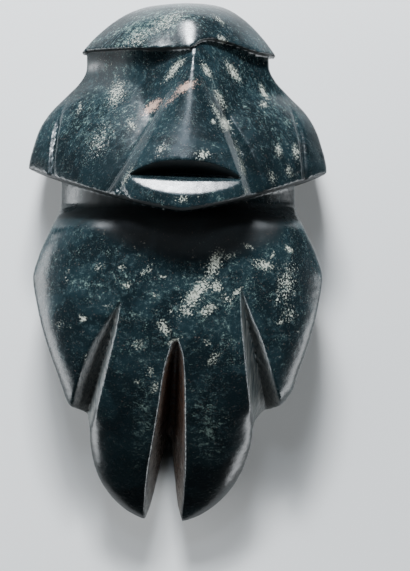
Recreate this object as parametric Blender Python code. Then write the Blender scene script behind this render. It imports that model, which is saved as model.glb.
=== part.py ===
"""A figure axe: a polished greenstone celt carved as a standing person, lying on its ground back.

One carved stone. The head, with its muzzle and its overhanging brow, is joined to the body, and
the carver's cuts (mouth, ears, arms and legs) are then taken out of it.
"""
import math

import bmesh
import bpy
import numpy as np
from mathutils import Vector

for leftover in list(bpy.data.objects):
    bpy.data.objects.remove(leftover, do_unlink=True)

FACET = 3.4                # spacing of the facets, in millimetres
SOLVER = "EXACT"

# ---------------------------------------------------------------- driving dimensions, in millimetres
# The figure is laid out with x to its left and right, y from the leg tips up to the crown, and
# z from the ground back (0) out to the face.
MM = 0.001
LENGTH = 200.0             # leg tips to crown
LEAN = 0.068               # sideways slope of the line through nose, mouth and legs
LEAN_LEVEL = 86.0          # the height at which that line crosses the middle of the outline
GROUND_BACK = 0.0          # the back is ground flat here

LEG_HALF_WIDTH = 31.0      # the bit of the axe is half an ellipse, cut into two legs
LEG_LENGTH = 37.0
LEG_TOP = 36.0
ARM_TIP_LEVEL = 45.5       # the arms stop here, in a step out from the legs
BODY_TOP = 150.0           # the neck runs up inside the head to here

JAW_LEVEL = 119.4          # lowest point of the jaw's edge
JAW_RISE = 15.4            # how much higher the edge is at the ears
JAW_POWER = 1.32           # 1 would be a V, 2 a round U
EAR_HALF_WIDTH = 56.6      # the widest part of the figure
HEAD_BOTTOM, HEAD_TOP = 116.0, 190.0

MUZZLE_APEX = 177.5        # the triangular muzzle starts here, at the root of the nose
MUZZLE_FLARE = 0.425       # half-width gained for each millimetre down
MUZZLE_FOOT = 0.085        # width of its side walls, gained in the same way
MUZZLE_ROUND = 1.9         # 1 would be a sharp keel, 2 a round one
MUZZLE_BASE = 26.0         # hidden in the head
NOSE_SLOPE = 0.66          # fall of the nose's sides
NOSE_BLEND = 0.9           # width of the fillet between nose and cheek
NOSE_ROUND = 1.0           # radius of the ridge of the nose
CHEEK_POWER = 2.2          # how late the cheeks fall away to the ears

MOUTH_HALF_WIDTH = 20.8
UPPER_LIP, LOWER_LIP = 137.5, 124.6   # its edges on the keel
SHELF_LEVEL = 130.2        # the lower lip slopes in as far as this
SHELF_SLOPE = 0.5          # fall of that slope upwards
SHELF_FALL = 0.0027        # and its curve from side to side
MOUTH_LEAN = 0.035         # the mouth is this much lower towards its right end
MOUTH_DEPTH = 7.0          # of the dark slot above the lower lip

CROWN_X = 3.5              # the cap's highest point stands off the middle
CAP_LEFT, CAP_RIGHT = 40.0, 33.0      # half-widths of the cap at the brow
CAP_HEIGHT = 20.4          # from the brow to the crown
CAP_POWER = 2.4            # of its outline, where 2 is an ellipse
CAP_BOTTOM = 170.0         # hidden in the head
CAP_FLATNESS = 2.2         # of its front, where 2 is an even curve
CAP_RIM = 0.9              # slope of its front at the side edges
CREASE_X = 5.6             # the soft ridge up the middle of the forehead
CREASE_HEIGHT = 1.7
CREASE_WIDTH, CREASE_SPREAD = 4.8, 0.5   # its width at the brow, and what it gains upwards
BROW_LEVEL = 180.0         # the middle of the brow's lower edge
BROW_STEP = 4.8            # how far the brow stands over the eyes


def curve(*knots):
    """A smooth curve through (place, value) knots, which never swings past them."""
    places, values = np.array(knots, float).T
    steps = np.diff(places)
    slopes = np.diff(values) / steps
    tangents = np.concatenate([slopes[:1], np.zeros(len(places) - 2), slopes[-1:]])
    for i in range(1, len(places) - 1):
        before, after = slopes[i - 1], slopes[i]
        if before * after > 0:
            near, far = 2 * steps[i] + steps[i - 1], steps[i] + 2 * steps[i - 1]
            tangents[i] = (near + far) / (near / before + far / after)

    def value(at):
        at = np.clip(at, places[0], places[-1])
        i = np.clip(np.searchsorted(places, at) - 1, 0, len(steps) - 1)
        t = (at - places[i]) / steps[i]
        return (
            values[i] * (1 + 2 * t) * (1 - t) ** 2
            + values[i + 1] * t * t * (3 - 2 * t)
            + steps[i] * t * (1 - t) * (tangents[i] * (1 - t) - tangents[i + 1] * t)
        )

    return value


def axis_x(y):
    """Where the leaning line through nose, mouth and legs stands at height y."""
    return LEAN * (y - LEAN_LEVEL)


# ---------------------------------------------------------------- profiles, each against height y
body_width = curve((30, 30.6), (36, 31.0), (39.5, 31.8), (43, 34.5), (45.5, 40.0), (59, 46.0),
                   (83, 53.2), (94, 55.0), (103, 52.6), (113, 48.0), (122, 45.0), (150, 44.5))
body_front = curve((-1, 13.0), (6, 17.5), (20, 25.0), (40, 32.5), (60, 38.0), (80, 41.2),
                   (95, 41.8), (111, 41.7), (116, 40.6), (119, 37.2), (122.5, 33.5), (150, 33.5))
body_power = curve((-1, 6.0), (40, 6.4), (60, 7.5), (75, 6.4), (95, 4.4), (112, 4.4), (119, 3.4), (150, 3.4))
rim_slope = curve((-1, 0.88), (112, 0.88), (119, 1.0), (150, 1.0))   # of the front at its side edges
body_back = curve((-1, 9.5), (6, 5.0), (16, 1.0), (28, -2.0), (108, -2.0), (120, 3.0), (150, 3.0))

head_width = curve((116, 56.6), (135, 56.6), (145, 54.6), (152, 52.0), (158, 48.0), (164, 42.0),
                   (169, 37.2), (174, 34.8), (180, 34.6), (185, 31.0), (190, 22.0))
cheek_height = curve((116, 52.8), (127, 52.2), (140, 49.6), (150, 46.4), (160, 42.6), (168, 39.8),
                     (175, 38.0), (190, 37.0))
nose_height = curve((116, 53.0), (150, 52.4), (160, 51.2), (168, 49.2), (174, 47.2), (180, 44.9),
                    (184, 43.0), (190, 39.0))
ear_height = curve((116, 33.6), (127, 32.6), (140, 30.0), (150, 27.8), (160, 26.3), (175, 25.7), (190, 20.0))
head_back = curve((116, -2.0), (165, -2.0), (176, -0.5), (182, 0.6), (190, 5.5))

muzzle_height = curve((116, 57.4), (121, 58.2), (127, 58.2), (139, 56.0), (150, 53.6), (160, 51.3),
                      (170, 48.7), (177.5, 46.4))
muzzle_fall = curve((116, 0.15), (140, 0.20), (155, 0.34), (168, 0.58), (177.5, 0.72))

cap_front = curve((170, 50.6), (181, 46.4), (184.5, 44.85), (188, 43.2), (191.5, 41.3), (195, 37.8),
                  (198, 31.4), (200, 20.5))
cap_back = curve((170, 2.5), (180, 1.2), (184, 1.4), (190, 4.0), (196, 9.5), (200, 18.0))

# The brow's lower edge against x: level on one side, arched on the other.
brow_edge = curve((-45, 176.0), (-36.6, 179.4), (-33, 180.3), (-21.5, 180.2), (4.8, 179.9),
                  (7.8, 182.1), (10, 183.2), (13, 183.4), (19.7, 182.3), (27.4, 179.9), (31.2, 179.1),
                  (36, 178.6), (45, 175.0))


def jaw_edge(x):
    """The jaw's lower edge against x, a wide U."""
    off = np.abs(x - axis_x(JAW_LEVEL)) / EAR_HALF_WIDTH
    return JAW_LEVEL + JAW_RISE * off**JAW_POWER


def smooth_max(a, b, blend):
    """The greater of two surfaces, with the crease between them filled over a width of blend."""
    gap = np.clip(0.5 + 0.5 * (a - b) / blend, 0, 1)
    return b + (a - b) * gap + blend * gap * (1 - gap)


# ---------------------------------------------------------------- solids
def new_object(name, bm):
    bmesh.ops.recalc_face_normals(bm, faces=bm.faces)
    mesh = bpy.data.meshes.new(name)
    bm.to_mesh(mesh)
    bm.free()
    made = bpy.data.objects.new(name, mesh)
    bpy.context.scene.collection.objects.link(made)
    return made


def skin(name, loops):
    """A closed solid through loops of (x, y, z) points in millimetres, with flat ends."""
    bm = bmesh.new()
    rows = [[bm.verts.new(Vector(p) * MM) for p in loop] for loop in loops]
    count = len(rows[0])
    for low, high in zip(rows, rows[1:]):
        for i in range(count):
            j = (i + 1) % count
            bm.faces.new((low[i], low[j], high[j], high[i]))
    bm.faces.new(rows[0])
    bm.faces.new(rows[-1])
    return new_object(name, bm)


def loft(name, levels, ring):
    """A solid through ring(y), a loop of x and z values, at each level y."""
    loops = []
    for y in levels:
        xs, zs = ring(y)
        loops.append([(x, y, z) for x, z in zip(xs, zs)])
    return skin(name, loops)


def prism(name, outline, low, high):
    """An outline of (x, y) points, drawn straight up from z = low to z = high."""
    return skin(name, [[(x, y, z) for x, y in outline] for z in (low, high)])


def across_from_right(count):
    """Cosines from 1 to -1, which crowd the points of a front towards its side edges."""
    return np.cos(np.linspace(0, math.pi, count + 1))


def close_ring(front_x, front_z, centre, left, right, edge, back, power):
    """A front, right to left, closed by a rounded square back that starts at the edges' height."""
    count = len(front_x) - 1
    angle = math.pi * np.arange(1, count) / count
    across = -np.sign(np.cos(angle)) * np.abs(np.cos(angle)) ** (2 / power)
    x = centre + np.where(across >= 0, right, left) * across
    z = edge - (edge - back) * np.sin(angle) ** (2 / power)
    return np.concatenate([front_x, x]), np.concatenate([front_z, np.maximum(z, GROUND_BACK)])


def levels_between(low, high, step):
    """Levels from low to high, on one grid for every solid, so that their facets line up."""
    first = math.ceil(low / step + 0.3) * step
    return np.concatenate([[low], np.arange(first, high - 0.3 * step, step), [high]])


def body_section(y):
    """Half-width of the body at level y, and where its middle stands."""
    ellipse = 1 - np.clip((LEG_TOP - y) / LEG_LENGTH, 0, 1) ** 2
    width = np.where(y < LEG_TOP, LEG_HALF_WIDTH * np.sqrt(np.maximum(ellipse, 0.01)), body_width(y))
    centre = 0.75 * axis_x(y) * np.clip((ARM_TIP_LEVEL + 6 - y) / 12, 0, 1)
    return width, centre


def body_surface(x, y):
    """Height of the uncut body's front at x, y: flat in the middle, falling to the side edges."""
    width, centre = body_section(y)
    off = np.minimum(np.abs(x - centre) / width, 1.0)
    return body_front(y) - rim_slope(y) * width / body_power(y) * off ** body_power(y)


def body_solid(step):
    """Neck, shoulders, arms and the elliptical bit that becomes the legs."""
    turn = np.linspace(0.08, math.pi / 2, max(8, round(34 / step)))
    legs = LEG_TOP - LEG_LENGTH * np.cos(turn)
    above = levels_between(LEG_TOP, BODY_TOP, step)[1:]
    across = across_from_right(max(24, round(95 / step)))

    def ring(y):
        width, centre = body_section(y)
        x = centre + width * across
        edge = body_surface(centre + width, y)
        return close_ring(x, body_surface(x, y), centre, width, width, edge, body_back(y), 4.0)

    return loft("body", np.concatenate([legs, above]), ring)


def cap_reach(y):
    """How far the cap reaches to its left and right at level y."""
    grow = ((LENGTH + 0.1 - y) / CAP_HEIGHT) ** (1 / CAP_POWER)
    return CAP_LEFT * grow, CAP_RIGHT * grow


def cap_surface(x, y):
    """Height of the cap's front at x, y."""
    left, right = cap_reach(y)
    off = np.minimum(np.abs((x - CROWN_X) / np.where(x < CROWN_X, left, right)), 1.0)
    fall = CAP_RIM * (left + right) / 2 / CAP_FLATNESS
    spread = CREASE_WIDTH + CREASE_SPREAD * np.maximum(y - BROW_LEVEL, 0)
    crease = CREASE_HEIGHT * (1 - np.exp(-(((x - CREASE_X) / spread) ** 2)))
    return cap_front(y) - crease - fall * off**CAP_FLATNESS


def head_front(x, y):
    """Height of the face at x, y: cheeks that fall away to the ears, and the ridge of the nose.

    Below the brow the face keeps one step under it, which is the hollow of the eyes.
    """
    width, axis, ear = head_width(y), axis_x(y), ear_height(y)
    off = np.abs(x - axis) / np.where(x > axis, width - axis, width + axis)
    cheek = cheek_height(y) - (cheek_height(y) - ear) * off**CHEEK_POWER
    near = min(1.0, max(0.0, (y - 165) / 13))
    near = near * near * (3 - 2 * near)
    cheek = cheek + near * (cap_surface(x, max(y, BROW_LEVEL)) - BROW_STEP - cheek)
    ridge = nose_height(y) - NOSE_SLOPE * (np.hypot(x - axis, NOSE_ROUND) - NOSE_ROUND)
    return smooth_max(ridge, cheek, NOSE_BLEND)


def head_solid(step):
    """Cheeks, eye hollows, the ridge of the nose and the ears."""
    across = across_from_right(max(30, round(110 / step)))

    def ring(y):
        width = head_width(y)
        x = width * across
        return close_ring(x, head_front(x, y), 0, width, width, ear_height(y), head_back(y), 5.0)

    return loft("head", levels_between(HEAD_BOTTOM, HEAD_TOP, step), ring)


def muzzle_half(y):
    return MUZZLE_FLARE * (MUZZLE_APEX - y) + 0.3


def muzzle_foot(y):
    """Width of the muzzle's side walls; the right one soon stops widening."""
    foot = MUZZLE_FOOT * (MUZZLE_APEX - y) + 0.3
    return 1.3 * foot, min(1.3 * foot, 2.8)


def muzzle_front(x, y):
    """Height of the muzzle at x, y, between its two borders."""
    half = muzzle_half(y)
    return muzzle_height(y) - muzzle_fall(y) * half * (np.abs(x - axis_x(y)) / half) ** MUZZLE_ROUND


def muzzle_solid(step):
    """The raised triangle from the root of the nose to the jaw, rounded to a keel down its middle."""
    across = np.sin(np.linspace(-math.pi / 2, math.pi / 2, max(7, round(30 / step) | 1)))

    def ring(y):
        xs = axis_x(y) + muzzle_half(y) * across
        zs = muzzle_front(xs, y)
        foot_left, foot_right = muzzle_foot(y)
        left, right, drop = xs[0] - foot_left, xs[-1] + foot_right, 0.8 * foot_left
        return (
            np.concatenate([[left, left], xs, [right, right]]),
            np.concatenate([[MUZZLE_BASE, zs[0] - drop], zs, [zs[-1] - drop, MUZZLE_BASE]]),
        )

    return loft("muzzle", levels_between(HEAD_BOTTOM, MUZZLE_APEX, step), ring)


def cap_solid(step):
    """The forehead and crown, which overhang the eyes as the brow."""
    across = across_from_right(2 * (max(24, round(80 / step)) // 2))

    def ring(y):
        left, right = cap_reach(y)
        x = CROWN_X + np.where(across > 0, right, left) * across
        edge = cap_surface(CROWN_X - left, y)
        return close_ring(x, cap_surface(x, y), CROWN_X, left, right, edge, cap_back(y), 3.0)

    turn = np.linspace(0, math.pi / 2, max(9, round(34 / step)))
    return loft("cap", CAP_BOTTOM + (LENGTH - CAP_BOTTOM) * np.sin(turn), ring)


# ---------------------------------------------------------------- the carver's cuts
def groove(name, levels, section):
    """A V cut. section(y) gives its left lip, right lip and deep line as (x, z) points."""
    loops = []
    for y in levels:
        loops.append([(x, y, z) for x, z in section(y)])
    return skin(name, loops)


def cut_section(left, right, floor, surface, clear=4.0):
    """Lips at x = left and right on the surface, raised clear of it along the walls.

    floor lists the points between them, each an x and a depth under the surface there.
    """
    low = [(x, surface(x) - depth) for x, depth in floor]
    raised = []
    for lip, (x, z) in ((left, low[0]), (right, low[-1])):
        rise = max(surface(lip) - z, 0.4 * abs(lip - x), 0.2)
        raised.append((lip + clear * (lip - x) / rise, surface(lip) + clear))
    return [raised[0]] + low + [raised[1]]


leg_cut_left = curve((-4, 7.4), (4, 7.6), (15, 7.4), (36, 5.4), (47, 4.4), (58, 3.5), (66, 2.0), (70.5, 0.3))
leg_cut_right = curve((-4, 7.0), (4, 7.3), (15, 7.4), (36, 6.2), (47, 5.4), (58, 4.5), (66, 3.2),
                      (70.5, 1.4))
leg_cut_depth = curve((-4, 8.0), (15, 13.0), (36, 18.0), (47, 15.0), (58, 10.0), (66, 4.5), (70.5, 0.8))
leg_gap = curve((-4, 9.0), (2, 6.6), (8, 4.9), (15, 3.7), (24, 2.3), (34, 0.2))


def leg_groove(step):
    """The tapered groove between the legs, on the front."""
    def section(y):
        axis, depth = axis_x(y), leg_cut_depth(y)
        left, right = axis - leg_cut_left(y), axis + leg_cut_right(y)
        floor = [(left + 0.42 * (right - left), 0.95 * depth), (left + 0.6 * (right - left), depth)]
        return cut_section(left, right, floor, lambda x: body_surface(x, y))

    return groove("leg_groove", levels_between(-4, 70.5, step), section)


def leg_slot(step):
    """The gap that runs right through between the ends of the legs."""
    levels = levels_between(-4, 34, step)
    left = [(axis_x(y) - leg_gap(y), y) for y in levels]
    right = [(axis_x(y) + leg_gap(y), y) for y in levels[::-1]]
    return prism("leg_slot", left + right, -10, 60)


def back_leg_groove(step):
    """The same groove on the back, plainer and shorter."""
    def section(y):
        half, axis = 0.7 * leg_cut_left(y + 10), axis_x(y)
        back = max(body_back(y), GROUND_BACK)
        floor = [(axis, 0.55 * leg_cut_depth(y + 10))]
        section = cut_section(axis - half, axis + half, floor, lambda x: back)
        return [(x, 2 * back - z) for x, z in section]

    return groove("back_leg_groove", levels_between(-4, 63, step), section)


# Each arm's groove, as x against y: its lip on the flank, its deep line and its lip on the arm.
LEFT_FLANK = curve((34, -34.2), (40, -32.0), (47, -29.8), (59, -26.4), (67, -24.4), (75, -22.5),
                   (86.5, -20.7))
LEFT_DEEP = curve((34, -37.2), (40, -35.2), (47, -33.2), (59, -29.2), (67, -26.6), (75, -24.1),
                  (86.5, -20.9))
LEFT_ARM = curve((34, -42.5), (40, -41.5), (47, -40.0), (55, -37.8), (67, -33.8), (75, -29.0), (86.5, -21.2))
RIGHT_FLANK = curve((34, 29.3), (40, 28.4), (47, 27.4), (59, 25.8), (69, 24.8), (78, 23.9), (91.5, 23.4))
RIGHT_DEEP = curve((34, 35.0), (40, 34.2), (47, 33.2), (53, 32.0), (69, 28.6), (78, 26.2), (91.5, 23.6))
RIGHT_ARM = curve((34, 41.5), (40, 40.5), (48, 38.8), (59, 35.6), (70, 32.2), (82, 27.4), (91.5, 23.9))
ARM_CUTS = {
    "left": (LEFT_FLANK, LEFT_DEEP, LEFT_ARM, 86.5),
    "right": (RIGHT_FLANK, RIGHT_DEEP, RIGHT_ARM, 91.5),
}
# The flank's wall breaks at this share of its width and depth.
ARM_LEDGES = {"left": (0.38, 0.25), "right": (0.5, 0.62)}
arm_depth = curve((0, 0.4), (12, 3.2), (25, 6.2), (38, 9.0), (55, 12.5))


def arm_groove(side, step):
    """The groove between an arm and the flank, deeper towards the arm's tip."""
    flank, deep, arm, top = ARM_CUTS[side]
    ledge, ledge_depth = ARM_LEDGES[side]

    def section(y):
        depth = arm_depth(top - y)
        floor = [
            (deep(y) + 0.55 * (arm(y) - deep(y)), 0.42 * depth),
            (deep(y), depth),
            (deep(y) + ledge * (flank(y) - deep(y)), ledge_depth * depth),
        ]
        lips = [arm(y), flank(y)]
        if side == "right":
            floor.reverse()
            lips.reverse()
        return cut_section(lips[0], lips[1], floor, lambda x: body_surface(x, y))

    return groove("arm_groove", levels_between(34, top, step), section)


def cheek_valley(step):
    """A valley along the foot of the muzzle's right wall."""
    def section(y):
        deep = 0.4 + 2.6 * min(1.0, (160 - y) / 18)
        left = axis_x(y) + muzzle_half(y) + muzzle_foot(y)[1]
        low = left + 0.35 * deep
        right = low + 1.6 * deep
        return [
            (left, head_front(left, y) + 3),
            (low, head_front(low, y) - deep),
            (right, head_front(right, y)),
            (right + 1.6, head_front(right, y) + 2.4),
        ]

    return groove("cheek_valley", levels_between(118, 158.5, step), section)


def mouth_slot(step):
    """An open mouth: a deep slot in shadow above a flat shelf, the lower lip. It leans with the face."""
    lip = float(muzzle_front(axis_x(LOWER_LIP), LOWER_LIP))

    def shelf_height(x, y):
        return lip - SHELF_SLOPE * (y - LOWER_LIP) - SHELF_FALL * x * x

    loops = []
    for x in levels_between(-MOUTH_HALF_WIDTH, MOUTH_HALF_WIDTH, step):
        off, rise = abs(x) / MOUTH_HALF_WIDTH, -MOUTH_LEAN * x
        shelf = SHELF_LEVEL + 0.8 * off**2
        upper = UPPER_LIP - 5.7 * off**2.4
        deep = shelf + 0.35 * (upper - shelf)
        edge = float(muzzle_front(x + axis_x(upper), upper + rise))
        depth = 1.0 + (MOUTH_DEPTH - 1.0) * (1 - off**2.5)
        section = [
            (LOWER_LIP - 5.0, shelf_height(x, LOWER_LIP - 5.0)),
            (shelf, min(shelf_height(x, shelf), edge + 0.5)),
            (deep, min(shelf_height(x, deep), edge) - depth),
            (upper, edge),
            (upper + 0.8, edge + 7.0),
        ]
        loops.append([(x + axis_x(y), y + rise, z) for y, z in section])
    return skin("mouth_slot", loops)


def ear_groove(line, width, depth, step):
    """A shallow V between cheek and ear, cut square to the sloping cheek. line(y) gives its x."""
    def section(y):
        x = line(y)
        surface = head_front(x, y)
        slope = head_front(x + 0.5, y) - head_front(x - 0.5, y)
        along = Vector((1, slope)).normalized()
        out = Vector((-along.y, along.x))
        centre = Vector((x, surface))
        fade = min(1.0, max(0.05, (162 - y) / 12))
        lips = [centre + along * (sign * 3 * width * fade) + out * (2 * depth * fade) for sign in (-1, 1)]
        return [tuple(lips[0]), tuple(lips[1]), tuple(centre - out * depth * fade)]

    return groove("ear_groove", levels_between(120, 161.5, step), section)


def below_edge(name, edge, half, floor, step):
    """A block that takes away everything under a curved edge."""
    xs = levels_between(-half, half, step)
    outline = [(x, float(edge(x))) for x in xs] + [(half, floor), (-half, floor)]
    return prism(name, outline, -20, 100)


def combine(target, other, operation):
    """Applies a Boolean to target and removes the other solid."""
    modifier = target.modifiers.new(operation, "BOOLEAN")
    modifier.operation = operation
    modifier.object = other
    modifier.solver = SOLVER
    graph = bpy.context.evaluated_depsgraph_get()
    mesh = bpy.data.meshes.new_from_object(target.evaluated_get(graph))
    target.modifiers.clear()
    old, target.data = target.data, mesh
    bpy.data.meshes.remove(old)
    bpy.data.meshes.remove(other.data)
    return target


left_ear_line = curve((120, -48.2), (134, -47.7), (147, -46.7), (157, -44.4), (164, -41.4))
right_ear_line = curve((120, 48.6), (134, 48.1), (147, 47.0), (154, 44.9), (164, 40.6))


def figure_solid(step):
    """The whole carving as one solid."""
    head = head_solid(step)
    combine(head, muzzle_solid(step), "UNION")
    combine(head, below_edge("under_jaw", jaw_edge, 70, 100, step), "DIFFERENCE")
    cap = cap_solid(step)
    combine(cap, below_edge("under_brow", brow_edge, 45, 160, step), "DIFFERENCE")
    figure = body_solid(step)
    combine(figure, head, "UNION")
    combine(figure, cap, "UNION")
    cuts = [
        mouth_slot(step),
        ear_groove(left_ear_line, 1.4, 1.5, step),
        ear_groove(right_ear_line, 1.6, 1.2, step),
        arm_groove("left", step),
        arm_groove("right", step),
        cheek_valley(step),
        leg_groove(step),
        leg_slot(step),
        back_leg_groove(step),
    ]
    for cut in cuts:
        combine(figure, cut, "DIFFERENCE")
    figure.name = "figure"
    return figure


def centre_on_base(thing):
    """Puts the origin at the middle of the base of the object's box."""
    places = np.array([tuple(v.co) for v in thing.data.vertices])
    low, high = places.min(axis=0), places.max(axis=0)
    base = Vector(((low[0] + high[0]) / 2, (low[1] + high[1]) / 2, low[2]))
    for v in thing.data.vertices:
        v.co -= base


def stone_material():
    stone = bpy.data.materials.new("stone")
    stone.use_nodes = True
    shader = stone.node_tree.nodes["Principled BSDF"]
    shader.inputs["Base Color"].default_value = (0.018, 0.036, 0.040, 1.0)
    shader.inputs["Roughness"].default_value = 0.3
    return stone


axe = figure_solid(FACET)
axe.name = axe.data.name = "axe_figure"
centre_on_base(axe)
axe.data.materials.clear()
axe.data.materials.append(stone_material())
axe.data.shade_smooth()
axe.data.set_sharp_from_angle(angle=math.radians(30))
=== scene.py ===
"""The look of the figure axe: the same carving in fine mesh, in mottled dark green stone."""

import math

import bmesh
import bpy
import numpy as np
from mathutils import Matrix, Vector, noise


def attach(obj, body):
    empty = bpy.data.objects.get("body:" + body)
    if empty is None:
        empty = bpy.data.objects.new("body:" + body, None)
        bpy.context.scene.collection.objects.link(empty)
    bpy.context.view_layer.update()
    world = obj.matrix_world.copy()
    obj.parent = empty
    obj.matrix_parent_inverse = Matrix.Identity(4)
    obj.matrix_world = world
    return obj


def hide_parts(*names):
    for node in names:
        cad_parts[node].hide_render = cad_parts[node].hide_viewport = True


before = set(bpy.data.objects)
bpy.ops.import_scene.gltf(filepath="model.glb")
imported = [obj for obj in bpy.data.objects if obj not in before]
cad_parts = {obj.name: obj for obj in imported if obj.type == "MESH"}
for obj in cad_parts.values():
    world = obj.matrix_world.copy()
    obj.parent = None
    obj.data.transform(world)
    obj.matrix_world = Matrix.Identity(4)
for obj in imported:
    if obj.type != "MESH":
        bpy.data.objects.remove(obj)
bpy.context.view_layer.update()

FINE = 1.2                 # spacing of the first facets, in millimetres
GRID_DEPTH = 8             # the fine mesh's grid has 2 to this power cells on a side
GRID_FILL = 0.985          # and the figure fills this share of it
SMOOTHING = 5              # passes that soften the edges
SMOOTHING_PULL = 0.5       # how far each one moves a point towards its neighbours
TRIANGLES = 192000         # left after thinning
PLAIN_BACK = 5.0           # only the mesh below this height, in millimetres, is thinned
SOLVER = "MANIFOLD"        # of the Booleans: every solid here is closed

# ------------------------------------------------------------ driving dimensions, in millimetres
# The figure is laid out with x to its left and right, y from the leg tips up to the crown, and
# z from the ground back (0) out to the face.
MM = 0.001
LENGTH = 200.0             # leg tips to crown
LEAN = 0.068               # sideways slope of the line through nose, mouth and legs
LEAN_LEVEL = 86.0          # the height at which that line crosses the middle of the outline
GROUND_BACK = 0.0          # the back is ground flat here

LEG_HALF_WIDTH = 31.0      # the bit of the axe is half an ellipse, cut into two legs
LEG_LENGTH = 37.0
LEG_TOP = 36.0
ARM_TIP_LEVEL = 45.5       # the arms stop here, in a step out from the legs
LEG_LEAN = 0.75            # the legs' outline follows this share of the lean
LEG_LEAN_FADE = 12.0       # which fades out over this height at the arms' tips
BODY_TOP = 150.0           # the neck runs up inside the head to here

JAW_LEVEL = 119.4          # lowest point of the jaw's edge
JAW_RISE = 15.4            # how much higher the edge is at the ears
JAW_POWER = 1.32           # 1 would be a V, 2 a round U
EAR_HALF_WIDTH = 56.6      # the widest part of the figure
HEAD_BOTTOM, HEAD_TOP = 116.0, 190.0

MUZZLE_APEX = 177.5        # the triangular muzzle starts here, at the root of the nose
MUZZLE_FLARE = 0.425       # half-width gained for each millimetre down
MUZZLE_FOOT = 0.085        # width of its side walls, gained in the same way
MUZZLE_TIP = 0.3           # the half-width it starts with, and the width of its walls
WALL_SPREAD = 1.3          # how far the walls splay out
RIGHT_WALL = 2.8           # the right one stops widening here
WALL_DROP = 0.8            # fall of the left one against its width
MUZZLE_ROUND = 1.9         # 1 would be a sharp keel, 2 a round one
MUZZLE_BASE = 26.0         # hidden in the head
NOSE_SLOPE = 0.66          # fall of the nose's sides
NOSE_BLEND = 0.9           # width of the fillet between nose and cheek
NOSE_ROUND = 1.0           # radius of the ridge of the nose
CHEEK_POWER = 2.2          # how late the cheeks fall away to the ears

MOUTH_HALF_WIDTH = 20.8
UPPER_LIP, LOWER_LIP = 137.5, 124.6   # its edges on the keel
SHELF_LEVEL = 130.2        # the lower lip slopes in as far as this
SHELF_SLOPE = 0.5          # fall of that slope upwards
SHELF_FALL = 0.0027        # and its curve from side to side
SHELF_RISE = 0.8           # of its inner edge towards the corners of the mouth
UPPER_LIP_FALL, UPPER_LIP_POWER = 5.7, 2.4    # of the upper lip's edge towards the corners
MOUTH_LEAN = 0.035         # the mouth is this much lower towards its right end
MOUTH_DEPTH = 7.0          # of the dark slot above the lower lip
CORNER_DEPTH = 1.0         # of the slot at the corners of the mouth
MOUTH_DEEP = 0.35          # the slot is deepest at this share of its height
MOUTH_DEEP_POWER = 2.5     # how late its floor rises to the corners
LIP_FOOT = 5.0             # the shelf starts this far below the lower lip's edge, in the air

CROWN_X = 3.5              # the cap's highest point stands off the middle
CAP_LEFT, CAP_RIGHT = 40.0, 33.0      # half-widths of the cap at the brow
CAP_HEIGHT = 20.4          # from the brow to the crown
CAP_POWER = 2.4            # of its outline, where 2 is an ellipse
CAP_BOTTOM = 170.0         # hidden in the head
CAP_FLATNESS = 2.2         # of its front, where 2 is an even curve
CAP_RIM = 0.9              # slope of its front at the side edges
CREASE_X = 5.6             # the soft ridge up the middle of the forehead
CREASE_HEIGHT = 1.7
CREASE_WIDTH, CREASE_SPREAD = 4.8, 0.5   # its width at the brow, and what it gains upwards
BROW_LEVEL = 180.0         # the middle of the brow's lower edge
BROW_STEP = 4.8            # how far the brow stands over the eyes
EYES_FOOT, EYES_HEIGHT = 165, 13      # the cheeks pass into the hollow of the eyes over this height

# How square the hidden back of each solid is, where 2 is round.
BODY_BACK_POWER, HEAD_BACK_POWER, CAP_BACK_POWER = 4.0, 5.0, 3.0


def curve(*knots):
    """A smooth curve through (place, value) knots, which never swings past them."""
    places, values = np.array(knots, float).T
    steps = np.diff(places)
    slopes = np.diff(values) / steps
    tangents = np.concatenate([slopes[:1], np.zeros(len(places) - 2), slopes[-1:]])
    for i in range(1, len(places) - 1):
        before, after = slopes[i - 1], slopes[i]
        if before * after > 0:
            near, far = 2 * steps[i] + steps[i - 1], steps[i] + 2 * steps[i - 1]
            tangents[i] = (near + far) / (near / before + far / after)

    def value(at):
        at = np.clip(at, places[0], places[-1])
        i = np.clip(np.searchsorted(places, at) - 1, 0, len(steps) - 1)
        t = (at - places[i]) / steps[i]
        return (
            values[i] * (1 + 2 * t) * (1 - t) ** 2
            + values[i + 1] * t * t * (3 - 2 * t)
            + steps[i] * t * (1 - t) * (tangents[i] * (1 - t) - tangents[i + 1] * t)
        )

    return value


def axis_x(y):
    """Where the leaning line through nose, mouth and legs stands at height y."""
    return LEAN * (y - LEAN_LEVEL)


# ------------------------------------------------------------ profiles, each against height y
body_width = curve((30, 30.6), (36, 31.0), (39.5, 31.8), (43, 34.5), (45.5, 40.0), (59, 46.0),
                   (83, 53.2), (94, 55.0), (103, 52.6), (113, 48.0), (122, 45.0), (150, 44.5))
body_front = curve((-1, 13.0), (6, 17.5), (20, 25.0), (40, 32.5), (60, 38.0), (80, 41.2),
                   (95, 41.8), (111, 41.7), (116, 40.6), (119, 37.2), (122.5, 33.5), (150, 33.5))
body_power = curve((-1, 6.0), (40, 6.4), (60, 7.5), (75, 6.4), (95, 4.4), (112, 4.4),
                   (119, 3.4), (150, 3.4))
# Slope of the front at its side edges.
rim_slope = curve((-1, 0.88), (112, 0.88), (119, 1.0), (150, 1.0))
body_back = curve((-1, 9.5), (6, 5.0), (16, 1.0), (28, -2.0), (108, -2.0), (120, 3.0), (150, 3.0))

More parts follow.
